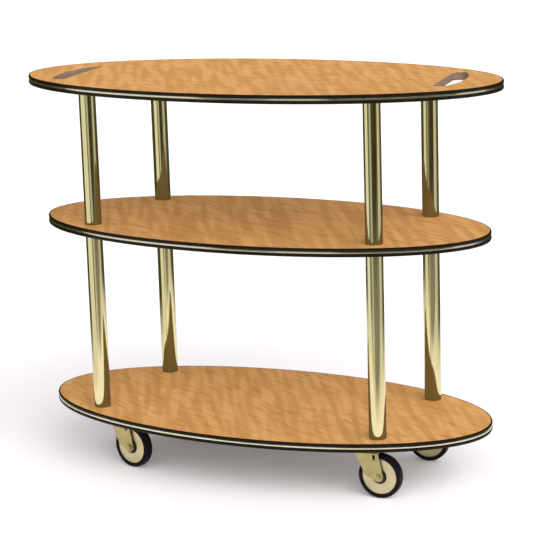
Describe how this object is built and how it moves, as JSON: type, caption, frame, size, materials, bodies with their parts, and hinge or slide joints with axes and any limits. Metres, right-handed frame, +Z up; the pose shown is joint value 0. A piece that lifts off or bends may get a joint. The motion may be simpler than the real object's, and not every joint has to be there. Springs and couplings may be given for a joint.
{
  "type": "service cart",
  "caption": "Oval three-shelf serving cart with wood-grain shelves, ribbed edge moulding, brass tube legs, hand holes and swivel casters.",
  "frame": {"origin": "floor, under the middle of the cart", "axes": "+X along the cart towards the end whose hand hole lies behind its centre line, +Y across the cart to the back, +Z up"},
  "size_m": [1.144, 0.62, 0.901],
  "materials": {
    "particle_board": "sawn particle board edge",
    "wood_laminate": "satin light cherry wood-grain laminate",
    "backer_sheet": "plain brown backing sheet",
    "black_vinyl": "glossy black vinyl edge moulding",
    "bright_strip": "bright brass-toned strip",
    "brass_tube": "polished brass plating on steel tube",
    "brass_caster": "satin brass plating on pressed steel",
    "brass_disc": "satin brass plating",
    "zinc_steel": "zinc plated",
    "bright_steel": "bright hardened steel",
    "black_plastic": "black moulded nylon",
    "tyre_rubber": "smooth black rubber with a soft gloss"
  },
  "bodies": {
    "frame": {"top_shelf_core": "particle_board", "top_shelf_laminate": "wood_laminate", "top_shelf_moulding": "black_vinyl", "middle_shelf_core": "particle_board", "middle_shelf_laminate": "wood_laminate", "middle_shelf_moulding": "black_vinyl", "bottom_shelf_core": "particle_board", "bottom_shelf_laminate": "wood_laminate", "bottom_shelf_moulding": "black_vinyl", "shelf_backers": "backer_sheet", "moulding_strips": "bright_strip", "upper_tube_front_left": "brass_tube", "lower_tube_front_left": "brass_tube", "upper_tube_front_right": "brass_tube", "lower_tube_front_right": "brass_tube", "upper_tube_back_left": "brass_tube", "lower_tube_back_left": "brass_tube", "upper_tube_back_right": "brass_tube", "lower_tube_back_right": "brass_tube", "tube_plugs": "black_plastic", "tie_rods": "zinc_steel", "threaded_inserts": "zinc_steel", "rod_washers": "zinc_steel", "rod_nuts": "zinc_steel", "caster_screws": "zinc_steel", "swivel_pins": "zinc_steel", "swivel_balls": "bright_steel", "caster_plate_front_left": "brass_caster", "caster_plate_front_right": "brass_caster", "caster_plate_back_left": "brass_caster", "caster_plate_back_right": "brass_caster"},
    "swivel_front_left": {"caster_fork_front_left": "brass_caster", "axle_bolt_front_left": "brass_caster", "axle_nut_front_left": "brass_caster", "wheel_bushing_front_left": "bright_steel"},
    "wheel_front_left": {"wheel_core_front_left": "black_plastic", "wheel_discs_front_left": "brass_disc", "tyre_front_left": "tyre_rubber"},
    "swivel_front_right": {"caster_fork_front_right": "brass_caster", "axle_bolt_front_right": "brass_caster", "axle_nut_front_right": "brass_caster", "wheel_bushing_front_right": "bright_steel"},
    "wheel_front_right": {"wheel_core_front_right": "black_plastic", "wheel_discs_front_right": "brass_disc", "tyre_front_right": "tyre_rubber"},
    "swivel_back_left": {"caster_fork_back_left": "brass_caster", "axle_bolt_back_left": "brass_caster", "axle_nut_back_left": "brass_caster", "wheel_bushing_back_left": "bright_steel"},
    "wheel_back_left": {"wheel_core_back_left": "black_plastic", "wheel_discs_back_left": "brass_disc", "tyre_back_left": "tyre_rubber"},
    "swivel_back_right": {"caster_fork_back_right": "brass_caster", "axle_bolt_back_right": "brass_caster", "axle_nut_back_right": "brass_caster", "wheel_bushing_back_right": "bright_steel"},
    "wheel_back_right": {"wheel_core_back_right": "black_plastic", "wheel_discs_back_right": "brass_disc", "tyre_back_right": "tyre_rubber"}
  },
  "joints": [
    {"name": "swivel_front_left_turn", "type": "hinge", "parent": "frame", "child": "swivel_front_left", "pos_m": [-0.31, -0.14, 0.11], "axis": [0, 0, 1], "continuous": true},
    {"name": "wheel_front_left_roll", "type": "hinge", "parent": "swivel_front_left", "child": "wheel_front_left", "pos_m": [-0.2759, -0.14787, 0.05], "axis": [0.225, 0.9744, 0], "continuous": true},
    {"name": "swivel_front_right_turn", "type": "hinge", "parent": "frame", "child": "swivel_front_right", "pos_m": [0.31, -0.14, 0.11], "axis": [0, 0, 1], "continuous": true},
    {"name": "wheel_front_right_roll", "type": "hinge", "parent": "swivel_front_right", "child": "wheel_front_right", "pos_m": [0.345, -0.14, 0.05], "axis": [0, 1, 0], "continuous": true},
    {"name": "swivel_back_left_turn", "type": "hinge", "parent": "frame", "child": "swivel_back_left", "pos_m": [-0.31, 0.14, 0.11], "axis": [0, 0, 1], "continuous": true},
    {"name": "wheel_back_left_roll", "type": "hinge", "parent": "swivel_back_left", "child": "wheel_back_left", "pos_m": [-0.275, 0.14, 0.05], "axis": [0, 1, 0], "continuous": true},
    {"name": "swivel_back_right_turn", "type": "hinge", "parent": "frame", "child": "swivel_back_right", "pos_m": [0.31, 0.14, 0.11], "axis": [0, 0, 1], "continuous": true},
    {"name": "wheel_back_right_roll", "type": "hinge", "parent": "swivel_back_right", "child": "wheel_back_right", "pos_m": [0.345, 0.14, 0.05], "axis": [0, 1, 0], "continuous": true}
  ]
}
